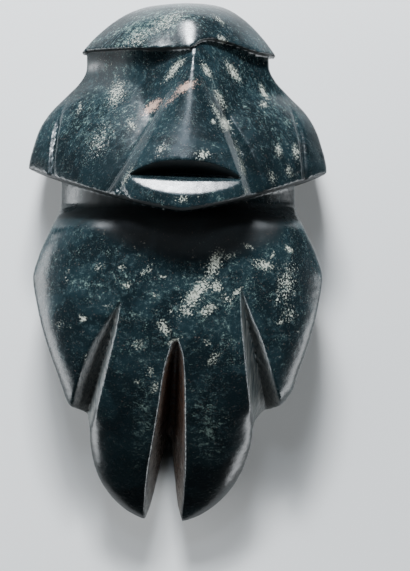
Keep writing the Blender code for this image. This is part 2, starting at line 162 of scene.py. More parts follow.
head_width = curve((116, 56.6), (135, 56.6), (145, 54.6), (152, 52.0), (158, 48.0), (164, 42.0),
                   (169, 37.2), (174, 34.8), (180, 34.6), (185, 31.0), (190, 22.0))
cheek_height = curve((116, 52.8), (127, 52.2), (140, 49.6), (150, 46.4), (160, 42.6), (168, 39.8),
                     (175, 38.0), (190, 37.0))
nose_height = curve((116, 53.0), (150, 52.4), (160, 51.2), (168, 49.2), (174, 47.2), (180, 44.9),
                    (184, 43.0), (190, 39.0))
ear_height = curve((116, 33.6), (127, 32.6), (140, 30.0), (150, 27.8), (160, 26.3), (175, 25.7),
                   (190, 20.0))
head_back = curve((116, -2.0), (165, -2.0), (176, -0.5), (182, 0.6), (190, 5.5))

muzzle_height = curve((116, 57.4), (121, 58.2), (127, 58.2), (139, 56.0), (150, 53.6), (160, 51.3),
                      (170, 48.7), (177.5, 46.4))
muzzle_fall = curve((116, 0.15), (140, 0.20), (155, 0.34), (168, 0.58), (177.5, 0.72))

cap_front = curve((170, 50.6), (181, 46.4), (184.5, 44.85), (188, 43.2), (191.5, 41.3), (195, 37.8),
                  (198, 31.4), (200, 20.5))
cap_back = curve((170, 2.5), (180, 1.2), (184, 1.4), (190, 4.0), (196, 9.5), (200, 18.0))

# The brow's lower edge against x: level on one side, arched on the other.
brow_edge = curve((-45, 176.0), (-36.6, 179.4), (-33, 180.3), (-21.5, 180.2), (4.8, 179.9),
                  (7.8, 182.1), (10, 183.2), (13, 183.4), (19.7, 182.3), (27.4, 179.9),
                  (31.2, 179.1), (36, 178.6), (45, 175.0))


def jaw_edge(x):
    """The jaw's lower edge against x, a wide U."""
    off = np.abs(x - axis_x(JAW_LEVEL)) / EAR_HALF_WIDTH
    return JAW_LEVEL + JAW_RISE * off**JAW_POWER


def smooth_max(a, b, blend):
    """The greater of two surfaces, with the crease between them filled over a width of blend."""
    gap = np.clip(0.5 + 0.5 * (a - b) / blend, 0, 1)
    return b + (a - b) * gap + blend * gap * (1 - gap)


# ------------------------------------------------------------ solids
def new_object(name, bm):
    bmesh.ops.recalc_face_normals(bm, faces=bm.faces)
    mesh = bpy.data.meshes.new(name)
    bm.to_mesh(mesh)
    bm.free()
    made = bpy.data.objects.new(name, mesh)
    bpy.context.scene.collection.objects.link(made)
    return made


def skin(name, loops):
    """A closed solid through loops of (x, y, z) points in millimetres, with flat ends."""
    bm = bmesh.new()
    rows = [[bm.verts.new(Vector(p) * MM) for p in loop] for loop in loops]
    count = len(rows[0])
    for low, high in zip(rows, rows[1:]):
        for i in range(count):
            j = (i + 1) % count
            bm.faces.new((low[i], low[j], high[j], high[i]))
    bm.faces.new(rows[0])
    bm.faces.new(rows[-1])
    return new_object(name, bm)


def loft(name, levels, ring):
    """A solid through ring(y), a loop of x and z values, at each level y."""
    loops = []
    for y in levels:
        xs, zs = ring(y)
        loops.append([(x, y, z) for x, z in zip(xs, zs)])
    return skin(name, loops)


def prism(name, outline, low, high):
    """An outline of (x, y) points, drawn straight up from z = low to z = high."""
    return skin(name, [[(x, y, z) for x, y in outline] for z in (low, high)])


def across_from_right(count):
    """Cosines from 1 to -1, which crowd the points of a front towards its side edges."""
    return np.cos(np.linspace(0, math.pi, count + 1))


def close_ring(front_x, front_z, centre, left, right, edge, back, power):
    """A front, right to left, closed by a rounded square back that starts at the edges' height."""
    count = len(front_x) - 1
    angle = math.pi * np.arange(1, count) / count
    across = -np.sign(np.cos(angle)) * np.abs(np.cos(angle)) ** (2 / power)
    x = centre + np.where(across >= 0, right, left) * across
    z = edge - (edge - back) * np.sin(angle) ** (2 / power)
    return np.concatenate([front_x, x]), np.concatenate([front_z, np.maximum(z, GROUND_BACK)])


def levels_between(low, high, step):
    """Levels from low to high, on one grid for every solid, so that their facets line up."""
    first = math.ceil(low / step + 0.3) * step
    return np.concatenate([[low], np.arange(first, high - 0.3 * step, step), [high]])


def body_section(y):
    """Half-width of the body at level y, and where its middle stands."""
    ellipse = 1 - np.clip((LEG_TOP - y) / LEG_LENGTH, 0, 1) ** 2
    bit = LEG_HALF_WIDTH * np.sqrt(np.maximum(ellipse, 0.01))
    width = np.where(y < LEG_TOP, bit, body_width(y))
    fade = np.clip((ARM_TIP_LEVEL + LEG_LEAN_FADE / 2 - y) / LEG_LEAN_FADE, 0, 1)
    centre = LEG_LEAN * axis_x(y) * fade
    return width, centre


def body_surface(x, y):
    """Height of the uncut body's front at x, y: flat in the middle, falling to the side edges."""
    width, centre = body_section(y)
    off = np.minimum(np.abs(x - centre) / width, 1.0)
    return body_front(y) - rim_slope(y) * width / body_power(y) * off ** body_power(y)


def body_solid(step):
    """Neck, shoulders, arms and the elliptical bit that becomes the legs."""
    turn = np.linspace(0.08, math.pi / 2, max(8, round(34 / step)))
    legs = LEG_TOP - LEG_LENGTH * np.cos(turn)
    above = levels_between(LEG_TOP, BODY_TOP, step)[1:]
    across = across_from_right(max(24, round(95 / step)))

    def ring(y):
        width, centre = body_section(y)
        x = centre + width * across
        edge = body_surface(centre + width, y)
        return close_ring(x, body_surface(x, y), centre, width, width, edge, body_back(y),
                          BODY_BACK_POWER)

    return loft("body", np.concatenate([legs, above]), ring)


def cap_reach(y):
    """How far the cap reaches to its left and right at level y."""
    grow = ((LENGTH + 0.1 - y) / CAP_HEIGHT) ** (1 / CAP_POWER)
    return CAP_LEFT * grow, CAP_RIGHT * grow


def cap_surface(x, y):
    """Height of the cap's front at x, y."""
    left, right = cap_reach(y)
    off = np.minimum(np.abs((x - CROWN_X) / np.where(x < CROWN_X, left, right)), 1.0)
    fall = CAP_RIM * (left + right) / 2 / CAP_FLATNESS
    spread = CREASE_WIDTH + CREASE_SPREAD * np.maximum(y - BROW_LEVEL, 0)
    crease = CREASE_HEIGHT * (1 - np.exp(-(((x - CREASE_X) / spread) ** 2)))
    return cap_front(y) - crease - fall * off**CAP_FLATNESS


def head_front(x, y):
    """Height of the face at x, y: cheeks that fall away to the ears, and the ridge of the nose.

    Below the brow the face keeps one step under it, which is the hollow of the eyes.
    """
    width, axis, ear = head_width(y), axis_x(y), ear_height(y)
    off = np.abs(x - axis) / np.where(x > axis, width - axis, width + axis)
    cheek = cheek_height(y) - (cheek_height(y) - ear) * off**CHEEK_POWER
    near = min(1.0, max(0.0, (y - EYES_FOOT) / EYES_HEIGHT))
    near = near * near * (3 - 2 * near)
    cheek = cheek + near * (cap_surface(x, max(y, BROW_LEVEL)) - BROW_STEP - cheek)
    ridge = nose_height(y) - NOSE_SLOPE * (np.hypot(x - axis, NOSE_ROUND) - NOSE_ROUND)
    return smooth_max(ridge, cheek, NOSE_BLEND)


def head_solid(step):
    """Cheeks, eye hollows, the ridge of the nose and the ears."""
    across = across_from_right(max(30, round(110 / step)))

    def ring(y):
        width = head_width(y)
        x = width * across
        return close_ring(x, head_front(x, y), 0, width, width, ear_height(y), head_back(y),
                          HEAD_BACK_POWER)

    return loft("head", levels_between(HEAD_BOTTOM, HEAD_TOP, step), ring)


def muzzle_half(y):
    return MUZZLE_FLARE * (MUZZLE_APEX - y) + MUZZLE_TIP


def muzzle_foot(y):
    """Width of the muzzle's side walls; the right one soon stops widening."""
    foot = MUZZLE_FOOT * (MUZZLE_APEX - y) + MUZZLE_TIP
    return WALL_SPREAD * foot, min(WALL_SPREAD * foot, RIGHT_WALL)


def muzzle_front(x, y):
    """Height of the muzzle at x, y, between its two borders."""
    half = muzzle_half(y)
    return muzzle_height(y) - muzzle_fall(y) * half * (np.abs(x - axis_x(y)) / half) ** MUZZLE_ROUND


def muzzle_solid(step):
    """The raised triangle from the root of the nose to the jaw, rounded to a keel in its middle."""
    across = np.sin(np.linspace(-math.pi / 2, math.pi / 2, max(7, round(30 / step) | 1)))

    def ring(y):
        xs = axis_x(y) + muzzle_half(y) * across
        zs = muzzle_front(xs, y)
        foot_left, foot_right = muzzle_foot(y)
        left, right, drop = xs[0] - foot_left, xs[-1] + foot_right, WALL_DROP * foot_left
        return (
            np.concatenate([[left, left], xs, [right, right]]),
            np.concatenate([[MUZZLE_BASE, zs[0] - drop], zs, [zs[-1] - drop, MUZZLE_BASE]]),
        )

    return loft("muzzle", levels_between(HEAD_BOTTOM, MUZZLE_APEX, step), ring)


def cap_solid(step):
    """The forehead and crown, which overhang the eyes as the brow."""
    across = across_from_right(2 * (max(24, round(80 / step)) // 2))

    def ring(y):
        left, right = cap_reach(y)
        x = CROWN_X + np.where(across > 0, right, left) * across
        edge = cap_surface(CROWN_X - left, y)
        return close_ring(x, cap_surface(x, y), CROWN_X, left, right, edge, cap_back(y),
                          CAP_BACK_POWER)

    turn = np.linspace(0, math.pi / 2, max(9, round(34 / step)))
    return loft("cap", CAP_BOTTOM + (LENGTH - CAP_BOTTOM) * np.sin(turn), ring)


# ------------------------------------------------------------ the carver's cuts
def groove(name, levels, section):
    """A V cut. section(y) gives its left lip, right lip and deep line as (x, z) points."""
    loops = []
    for y in levels:
        loops.append([(x, y, z) for x, z in section(y)])
    return skin(name, loops)


def cut_section(left, right, floor, surface, clear=4.0):
    """Lips at x = left and right on the surface, raised clear of it along the walls.

    floor lists the points between them, each an x and a depth under the surface there.
    """
    low = [(x, surface(x) - depth) for x, depth in floor]
    raised = []
    for lip, (x, z) in ((left, low[0]), (right, low[-1])):
        rise = max(surface(lip) - z, 0.4 * abs(lip - x), 0.2)
        raised.append((lip + clear * (lip - x) / rise, surface(lip) + clear))
    return [raised[0]] + low + [raised[1]]


# The leg groove's two lips, from the leaning line, and its depth, each against y.
LEG_CUT_TOP = 70.5
leg_cut_left = curve((-4, 7.4), (4, 7.6), (15, 7.4), (36, 5.4), (47, 4.4), (58, 3.5), (66, 2.0),
                     (70.5, 0.3))
leg_cut_right = curve((-4, 7.0), (4, 7.3), (15, 7.4), (36, 6.2), (47, 5.4), (58, 4.5), (66, 3.2),
                      (70.5, 1.4))
leg_cut_depth = curve((-4, 8.0), (15, 13.0), (36, 18.0), (47, 15.0), (58, 10.0), (66, 4.5),
                      (70.5, 0.8))
# Corners of its floor, as shares of its width and depth.
LEG_CUT_FLOOR = ((0.42, 0.95), (0.6, 1.0))
leg_gap = curve((-4, 9.0), (2, 6.6), (8, 4.9), (15, 3.7), (24, 2.3), (34, 0.2))


def leg_groove(step):
    """The tapered groove between the legs, on the front."""
    def section(y):
        axis, depth = axis_x(y), leg_cut_depth(y)
        left, right = axis - leg_cut_left(y), axis + leg_cut_right(y)
        floor = [(left + across * (right - left), down * depth) for across, down in LEG_CUT_FLOOR]
        return cut_section(left, right, floor, lambda x: body_surface(x, y))

    return groove("leg_groove", levels_between(-4, LEG_CUT_TOP, step), section)


def leg_slot(step):
    """The gap that runs right through between the ends of the legs."""
    levels = levels_between(-4, 34, step)
    left = [(axis_x(y) - leg_gap(y), y) for y in levels]
    right = [(axis_x(y) + leg_gap(y), y) for y in levels[::-1]]
    return prism("leg_slot", left + right, -10, 60)


def back_leg_groove(step):
    """The same groove on the back, plainer and shorter."""
    def section(y):
        half, axis = 0.7 * leg_cut_left(y + 10), axis_x(y)
        back = max(body_back(y), GROUND_BACK)
        floor = [(axis, 0.55 * leg_cut_depth(y + 10))]
        section = cut_section(axis - half, axis + half, floor, lambda x: back)
        return [(x, 2 * back - z) for x, z in section]

    return groove("back_leg_groove", levels_between(-4, 63, step), section)


# Each arm's groove, as x against y: its lip on the flank, its deep line and its lip on the arm.
LEFT_FLANK = curve((34, -34.2), (40, -32.0), (47, -29.8), (59, -26.4), (67, -24.4), (75, -22.5),
                   (86.5, -20.7))
LEFT_DEEP = curve((34, -37.2), (40, -35.2), (47, -33.2), (59, -29.2), (67, -26.6), (75, -24.1),
                  (86.5, -20.9))
LEFT_ARM = curve((34, -42.5), (40, -41.5), (47, -40.0), (55, -37.8), (67, -33.8), (75, -29.0),
                 (86.5, -21.2))
RIGHT_FLANK = curve((34, 29.3), (40, 28.4), (47, 27.4), (59, 25.8), (69, 24.8), (78, 23.9),
                    (91.5, 23.4))
RIGHT_DEEP = curve((34, 35.0), (40, 34.2), (47, 33.2), (53, 32.0), (69, 28.6), (78, 26.2),
                   (91.5, 23.6))
RIGHT_ARM = curve((34, 41.5), (40, 40.5), (48, 38.8), (59, 35.6), (70, 32.2), (82, 27.4),
                  (91.5, 23.9))
ARM_CUTS = {
    "left": (LEFT_FLANK, LEFT_DEEP, LEFT_ARM, 86.5),
    "right": (RIGHT_FLANK, RIGHT_DEEP, RIGHT_ARM, 91.5),
}
# Where the groove's two walls break, as shares of their width and depth: the flank's, which
# differs from side to side, and the arm's.
FLANK_BREAKS = {"left": (0.38, 0.25), "right": (0.5, 0.62)}
ARM_BREAK = (0.55, 0.42)
arm_depth = curve((0, 0.4), (12, 3.2), (25, 6.2), (38, 9.0), (55, 12.5))


def arm_groove(side, step):
    """The groove between an arm and the flank, deeper towards the arm's tip."""
    flank, deep, arm, top = ARM_CUTS[side]
    flank_break, flank_depth = FLANK_BREAKS[side]
    arm_break, arm_break_depth = ARM_BREAK

    def section(y):
        depth = arm_depth(top - y)
        floor = [
            (deep(y) + arm_break * (arm(y) - deep(y)), arm_break_depth * depth),
            (deep(y), depth),
            (deep(y) + flank_break * (flank(y) - deep(y)), flank_depth * depth),
        ]
        lips = [arm(y), flank(y)]
        if side == "right":
            floor.reverse()
            lips.reverse()
        return cut_section(lips[0], lips[1], floor, lambda x: body_surface(x, y))

    return groove("arm_groove", levels_between(34, top, step), section)


VALLEY_TOP, VALLEY_FADE = 160, 18     # it deepens from this level down, over this height
VALLEY_DEPTH, VALLEY_GAIN = 0.4, 2.6  # its least depth, and what it gains
VALLEY_NEAR, VALLEY_FAR = 0.35, 1.6   # widths of its two walls, for each millimetre of depth


def cheek_valley(step):
    """A valley along the foot of the muzzle's right wall."""
    def section(y):
        deep = VALLEY_DEPTH + VALLEY_GAIN * min(1.0, (VALLEY_TOP - y) / VALLEY_FADE)
        left = axis_x(y) + muzzle_half(y) + muzzle_foot(y)[1]
        low = left + VALLEY_NEAR * deep
        right = low + VALLEY_FAR * deep
        return [
            (left, head_front(left, y) + 3),
            (low, head_front(low, y) - deep),
            (right, head_front(right, y)),
            (right + 1.6, head_front(right, y) + 2.4),
        ]

    return groove("cheek_valley", levels_between(118, 158.5, step), section)


def mouth_slot(step):
    """An open mouth, leaning with the face: a deep slot above a flat shelf, the lower lip."""
    lip = float(muzzle_front(axis_x(LOWER_LIP), LOWER_LIP))

    def shelf_height(x, y):
        return lip - SHELF_SLOPE * (y - LOWER_LIP) - SHELF_FALL * x * x

    loops = []
    for x in levels_between(-MOUTH_HALF_WIDTH, MOUTH_HALF_WIDTH, step):
        off, rise = abs(x) / MOUTH_HALF_WIDTH, -MOUTH_LEAN * x
        shelf = SHELF_LEVEL + SHELF_RISE * off**2
        upper = UPPER_LIP - UPPER_LIP_FALL * off**UPPER_LIP_POWER
        deep = shelf + MOUTH_DEEP * (upper - shelf)
        edge = float(muzzle_front(x + axis_x(upper), upper + rise))
        depth = CORNER_DEPTH + (MOUTH_DEPTH - CORNER_DEPTH) * (1 - off**MOUTH_DEEP_POWER)
        section = [
            (LOWER_LIP - LIP_FOOT, shelf_height(x, LOWER_LIP - LIP_FOOT)),
            (shelf, min(shelf_height(x, shelf), edge + 0.5)),
            (deep, min(shelf_height(x, deep), edge) - depth),
            (upper, edge),
            (upper + 0.8, edge + 7.0),
        ]
        loops.append([(x + axis_x(y), y + rise, z) for y, z in section])
    return skin("mouth_slot", loops)


EAR_CUT_TOP, EAR_CUT_FADE = 162, 12   # the ears' grooves die out over this height


def ear_groove(line, width, depth, step):
    """A shallow V between cheek and ear, cut square to the sloping cheek. line(y) gives its x."""
    def section(y):
        x = line(y)
        surface = head_front(x, y)
        slope = head_front(x + 0.5, y) - head_front(x - 0.5, y)
        along = Vector((1, slope)).normalized()
        out = Vector((-along.y, along.x))
        centre = Vector((x, surface))
        fade = min(1.0, max(0.05, (EAR_CUT_TOP - y) / EAR_CUT_FADE))
        rise, reach = out * (2 * depth * fade), 3 * width * fade
        lips = [tuple(centre + along * (side * reach) + rise) for side in (-1, 1)]
        return lips + [tuple(centre - out * depth * fade)]

    return groove("ear_groove", levels_between(120, 161.5, step), section)


def below_edge(name, edge, half, floor, step):
    """A block that takes away everything under a curved edge."""
    xs = levels_between(-half, half, step)
    outline = [(x, float(edge(x))) for x in xs] + [(half, floor), (-half, floor)]
    return prism(name, outline, -20, 100)


def combine(target, other, operation):
    """Applies a Boolean to target and removes the other solid."""
    modifier = target.modifiers.new(operation, "BOOLEAN")
    modifier.operation = operation
    modifier.object = other
    modifier.solver = SOLVER
    graph = bpy.context.evaluated_depsgraph_get()
    mesh = bpy.data.meshes.new_from_object(target.evaluated_get(graph))
    target.modifiers.clear()
    old, target.data = target.data, mesh
    bpy.data.meshes.remove(old)
    bpy.data.meshes.remove(other.data)
    return target


left_ear_line = curve((120, -48.2), (134, -47.7), (147, -46.7), (157, -44.4), (164, -41.4))
right_ear_line = curve((120, 48.6), (134, 48.1), (147, 47.0), (154, 44.9), (164, 40.6))


def figure_solid(step):
    """The whole carving as one solid."""
    head = head_solid(step)
    combine(head, muzzle_solid(step), "UNION")
    combine(head, below_edge("under_jaw", jaw_edge, 70, 100, step), "DIFFERENCE")
    cap = cap_solid(step)
    combine(cap, below_edge("under_brow", brow_edge, 45, 160, step), "DIFFERENCE")
    figure = body_solid(step)
    combine(figure, head, "UNION")
    combine(figure, cap, "UNION")
    cuts = [
        mouth_slot(step),
        ear_groove(left_ear_line, 1.4, 1.5, step),
        ear_groove(right_ear_line, 1.6, 1.2, step),
        arm_groove("left", step),
        arm_groove("right", step),
        cheek_valley(step),
        leg_groove(step),
        leg_slot(step),
        back_leg_groove(step),
    ]
    for cut in cuts:
        combine(figure, cut, "DIFFERENCE")
    figure.name = "figure"
    return figure


# ------------------------------------------------------------ the fine mesh
def through_modifiers(thing):
    """Replaces the object's mesh with what its modifiers make of it."""
    graph = bpy.context.evaluated_depsgraph_get()
    mesh = bpy.data.meshes.new_from_object(thing.evaluated_get(graph))
    thing.modifiers.clear()
    old, thing.data = thing.data, mesh
    bpy.data.meshes.remove(old)


def worn_figure():
    """The carving with its edges softened, as grinding and handling leave them."""
    figure = figure_solid(FINE)
    remesh = figure.modifiers.new("remesh", "REMESH")
    remesh.mode = "SHARP"
    remesh.octree_depth = GRID_DEPTH
    remesh.scale = GRID_FILL
    remesh.use_remove_disconnected = False
    smooth = figure.modifiers.new("smooth", "SMOOTH")
    smooth.iterations = SMOOTHING
    smooth.factor = SMOOTHING_PULL
    through_modifiers(figure)
    plain = figure.vertex_groups.new(name="plain back")
    heights = read_points(figure.data)[:, 2]
    plain.add([int(i) for i in np.flatnonzero(heights < PLAIN_BACK)], 1.0, "REPLACE")
    thin = figure.modifiers.new("thin", "DECIMATE")
    thin.vertex_group = plain.name
    thin.ratio = min(1.0, TRIANGLES / (2 * len(figure.data.polygons)))
    through_modifiers(figure)
    return figure


def read_points(mesh):
    """The mesh's points in millimetres, one row each."""
    flat = np.empty(len(mesh.vertices) * 3, np.float32)
    mesh.vertices.foreach_get("co", flat)
    return flat.reshape(-1, 3) / MM


def read_normals(mesh):
    flat = np.empty(len(mesh.vertices) * 3, np.float32)
    mesh.vertex_normals.foreach_get("vector", flat)
    return flat.reshape(-1, 3)


def write_points(mesh, points):
    mesh.vertices.foreach_set("co", (points * MM).astype(np.float32).ravel())
    mesh.update()


def ramp(value, low, high):
    """0 below low, 1 above high, and smooth between."""
    t = np.clip((value - low) / (high - low), 0, 1)
    return t * t * (3 - 2 * t)


def waves(points, size, seed):
    """Smooth random values from -1 to 1, with hills about one size across."""
    shift = Vector((seed * 17.3, seed * 5.1, seed * 11.7))
    return np.array([noise.noise(Vector(p) / size + shift) for p in points])


# ------------------------------------------------------------ relief
# Waves in the skin, left by hand grinding: height, size and seed.
GROUND_WAVES = [(0.16, 16.0, 1), (0.07, 6.0, 2), (0.035, 1.6, 5)]
# Saw lines on the groove walls, listed in the same way, and how they draw out along the cut.
SAW_WAVES = [(0.16, 0.9, 3), (0.1, 2.2, 4)]
SAW_STRETCH = (1.0, 0.06, 1.0)
GROOVE_LIP = 0.6           # the grooves are taken this much wider than their lips
SAWN_TOP = 70.0            # of the leg groove, where its walls meet the skin
SAWN_FOOT = 36             # of the arms' grooves
SAWN_HEIGHT = 3            # nothing is sawn lower than this above the ground back
SAWN_DEPTH = (0.4, 1.3)    # polish gives way to saw lines between these depths under the skin
BASE_FADE = (0.4, 2.5)     # the relief starts between these heights above the ground back

# Chips: x, y, z, radius and depth.
CHIPS = [
    (-14.4, 1.0, 9.0, 3.0, 1.3),
    (4.8, 0.4, 9.0, 2.6, 1.1),
    (-21.8, 128.2, 54.0, 2.4, 0.9),
    (-21.0, 124.0, 55.0, 3.4, 1.1),
    (-44.5, 57.4, 26.0, 3.2, 0.7),
    (27.0, 124.5, 53.0, 2.0, 0.5),
    (44.5, 132.5, 38.0, 2.2, 0.5),
    (-33.0, 183.5, 26.0, 2.0, 0.5),
    (-1.6, 69.5, 39.0, 2.2, 0.5),
]
CHIP_SLOPE = (0.45, 1.15)  # in radii: where a chip's floor ends, and where its slope ends
CHIP_RAGGED = 0.35         # how far its edge wanders, in radii
CHIP_WAVE, CHIP_SEED = 1.3, 6
CHIP_REACH = 1.6           # no chip is felt further off than this, in radii


def in_grooves(points):
    """1 on the sawn walls of the arm and leg grooves, 0 on the polished skin."""
    x, y, z = points.T
    left, right = axis_x(y) - leg_cut_left(y), axis_x(y) + leg_cut_right(y)
    found = (x > left - GROOVE_LIP) & (x < right + GROOVE_LIP) & (y < SAWN_TOP)
    for flank, deep, arm, top in ARM_CUTS.values():
        low, high = np.minimum(flank(y), arm(y)), np.maximum(flank(y), arm(y))
        found |= (x > low - GROOVE_LIP) & (x < high + GROOVE_LIP) & (y > SAWN_FOOT) & (y < top)
    depth = body_surface(x, y) - z
    return np.where(found & (z > SAWN_HEIGHT), ramp(depth, *SAWN_DEPTH), 0.0)


def summed_waves(points, listed):
    return sum(height * waves(points, size, seed) for height, size, seed in listed)


def add_relief(mesh, points, sawn):
    """Slight unevenness of hand grinding, saw lines in the grooves, and the chips."""
    push = summed_waves(points, GROUND_WAVES)
    push += sawn * summed_waves(points * np.array(SAW_STRETCH), SAW_WAVES)
    for *centre, radius, depth in CHIPS:
        far = np.linalg.norm(points - centre, axis=1) / radius
        near = far < CHIP_REACH
        far[near] += CHIP_RAGGED * waves(points[near], CHIP_WAVE, CHIP_SEED)
        push -= depth * (1 - ramp(far, *CHIP_SLOPE))
    above_base = ramp(points[:, 2], *BASE_FADE)
    moved = points + read_normals(mesh) * (push * above_base)[:, None]
    moved[:, 2] = np.maximum(moved[:, 2], 0)
    write_points(mesh, moved)


# ------------------------------------------------------------ where the stone differs, and where shade is painted on it
# Patches of pale grain: x, y, half length, half width, direction in degrees, strength.
PALE = [
    # Forehead.
    (-4.5, 190.0, 9.5, 3.5, 35, 0.55),
    (-14.5, 184.5, 8.5, 3.0, 30, 0.5),
    (16.0, 191.0, 3.5, 1.0, -40, 0.6),
    (17.0, 183.5, 2.5, 1.5, -30, 0.75),
    # Left cheek and the side of the nose.
    (-1.0, 172.0, 5.5, 1.5, 50, 0.9),
    (-23.0, 164.0, 5.5, 3.5, 70, 0.7),
    (-29.0, 146.0, 9.5, 4.5, 60, 0.4),
    (-37.0, 158.5, 2.5, 1.0, 75, 0.6),
    (-17.0, 151.5, 3.0, 1.5, -60, 0.7),
    (-18.5, 131.5, 5.5, 1.5, 60, 0.5),
    # Muzzle and lower lip.
    (13.5, 152.0, 1.0, 1.0, 0, 1.0),
    (9.5, 139.5, 3.0, 2.0, 10, 0.8),
    (-6.0, 141.5, 3.0, 1.5, 60, 0.6),
    (2.0, 123.0, 2.5, 1.5, 0, 0.8),
    # Down the valley beside the muzzle.
    (11.0, 171.5, 4.0, 1.5, -60, 0.8),
    (21.0, 171.5, 5.0, 1.5, -55, 0.9),
    (16.0, 161.0, 5.5, 1.5, -60, 0.7),
    (14.5, 156.0, 5.5, 1.5, -60, 0.6),
    (18.0, 151.5, 3.5, 2.5, -65, 0.9),
    (22.5, 142.0, 5.5, 1.5, -70, 0.5),
    (24.0, 135.5, 5.5, 1.5, -75, 0.6),
    (25.5, 126.5, 3.0, 1.5, -80, 0.5),
    # Right cheek.
    (32.5, 164.5, 4.0, 1.0, -65, 0.9),
    (32.5, 159.5, 1.5, 1.5, 0, 0.9),
    (38.0, 142.0, 3.0, 1.5, -75, 0.8),
    (44.5, 141.5, 3.5, 1.5, -80, 0.8),
    (42.0, 134.0, 3.5, 1.5, -80, 0.6),
    (35.5, 131.5, 3.0, 1.5, -70, 0.6),
    # The vein that slants down the chest to the leg groove.
    (14.0, 99.5, 6.0, 2.5, 70, 1.0),
    (14.5, 91.0, 2.5, 2.5, 90, 0.95),
    (7.0, 88.0, 9.0, 3.0, 50, 1.0),
    (4.0, 81.5, 2.5, 2.0, 0, 0.85),
    (11.5, 82.0, 4.0, 2.0, 30, 0.85),
    (18.5, 86.5, 2.5, 1.5, -60, 0.85),
    (22.5, 89.0, 3.0, 1.0, 45, 1.0),
    (19.5, 102.5, 4.0, 1.0, 20, 0.65),
    (-5.0, 75.5, 3.5, 2.0, -60, 0.95),
    (-1.0, 70.5, 3.0, 1.0, 30, 1.0),
    (-2.5, 81.5, 2.0, 1.0, 60, 0.65),
    # Right shoulder and arm.
    (32.5, 99.0, 4.0, 2.0, -10, 1.0),
    (36.0, 103.0, 1.5, 1.0, 70, 0.95),
    (42.0, 105.0, 2.0, 1.0, -50, 1.0),
    (26.5, 106.0, 2.5, 1.0, -20, 0.85),
    (41.0, 92.5, 8.5, 4.0, 80, 0.6),
    (37.5, 85.5, 2.0, 1.0, 80, 0.65),
    (38.5, 77.5, 1.5, 1.0, 60, 0.75),
    (42.0, 80.5, 3.5, 3.0, 90, 0.5),
    # Left shoulder and arm.
    (-29.5, 98.0, 2.5, 2.0, 20, 0.55),
    (-21.0, 98.0, 1.5, 1.0, 0, 0.85),
    (-19.0, 91.5, 2.0, 1.0, 15, 1.0),
    (-11.5, 97.0, 3.5, 1.5, 50, 0.65),
    (-6.0, 94.5, 2.0, 0.5, 0, 1.0),
    (-8.5, 88.0, 1.5, 1.0, -30, 0.75),
    (-26.5, 83.5, 2.0, 1.0, 30, 0.55),
    (-35.5, 79.0, 1.5, 1.5, 60, 0.95),
    (-34.5, 64.5, 1.5, 1.0, 60, 0.55),
    # Legs.
    (-14.5, 69.0, 2.5, 2.0, 0, 0.7),
    (13.5, 63.5, 3.5, 2.0, 50, 0.65),
    (11.5, 70.0, 1.5, 1.5, 0, 0.45),
    (-8.5, 53.0, 3.0, 1.5, 70, 0.75),
    (-10.0, 59.0, 2.5, 1.5, 60, 0.55),
    (-15.0, 55.0, 1.5, 1.0, 0, 0.65),
]
# Streaks of pinkish feldspar by the nose, and brown earth left in the leg groove.
PINK = [
    (3.5, 165.0, 4.0, 1.5, 30, 1.0),
    (-9.5, 158.0, 4.0, 1.5, 40, 1.0),
    (-2.0, 160.5, 5.0, 1.0, 40, 0.4),
]
EARTH = [
    (-1.5, 50.0, 26.0, 9.0, 90, 1.2),
    (-3.0, 24.0, 24.0, 8.0, 90, 0.7),
]
# Greener, finer grain on the inner halves of the legs and over the face.
GREEN = [
    (-12.7, 38.5, 19.0, 5.5, 82, 0.85),
    (11.5, 36.0, 17.0, 7.5, 94, 1.0),
    (-30.0, 152.0, 22.0, 14.0, 60, 0.35),
    (34.0, 156.0, 22.0, 12.0, -60, 0.3),
    (-8.0, 190.0, 24.0, 8.0, 20, 0.6),
    (-26.0, 92.0, 12.0, 10.0, 0, 0.3),
    (10.0, 86.0, 34.0, 20.0, 40, 0.25),
]
PATCH_HEIGHTS = (8, 14)    # the patches fade in above the flat back between these heights

# Other marks fade in or out between two levels up the figure.
NECK_FOOT = (116, 121)     # the painted shade under the jaw narrows to the neck here
UNDERSIDES = (112, 116)
LOW_CHEEKS, HIGH_CHEEKS = (118, 122), (136, 152)
LEG_SHADE = (15, 75)
TEMPLES = (160, 172)
# Or between two distances from the middle.
CHEEK_SIDES = (14, 26)
EAR_SIDE = (46, 50)
# Or with how squarely the surface faces the legs.
FACING_LEGS = (0.4, 0.7)

JAW_SHADE_X = -6.0             # the middle of the painted shade on the neck
NECK_REACH, CHEST_REACH = 27, 14      # its half-width on the neck, and what the chest adds
JAW_SHADE_EDGE = 7             # the width over which it fades out to the sides
JAW_SHADE_RISE = 8             # and upwards from its lower edge
JAW_CLEAR = 0.6            # it stops this far below the jaw's edge
JAW_SHADE = 0.9                # strengths of the marks, the first being the painted shade under the jaw
TEMPLE_GRIME = 1.6
CHEEK_SHADE, EAR_SHADE = 0.4, 0.5
EARTH_SHINE = 1.4
# A spot in the left temple that handling has kept bright: x, y, half width and half height.
RUBBED_X, RUBBED_Y, RUBBED_WIDTH, RUBBED_HEIGHT = -31.5, 174.3, 4, 2.2


def patches(points, listed):
    """How strongly each point lies in the listed patches, on the front only."""
    x, y, z = points.T
    total = np.zeros(len(points))
    for at_x, at_y, length, width, turn, strength in listed:
        c, s = math.cos(math.radians(turn)), math.sin(math.radians(turn))
        along = ((x - at_x) * c + (y - at_y) * s) / length
        across = ((y - at_y) * c - (x - at_x) * s) / width
        total = np.maximum(total, strength * np.exp(-(along**2 + across**2)))
    return total * ramp(z, *PATCH_HEIGHTS)


def jaw_shade_edge(x):
    """Lower edge of the painted shade below the jaw, on the chest, against x: a shallow bow with
    level ends.
    """
    return np.minimum(98 + 0.008 * (x - 8) ** 2, 112)


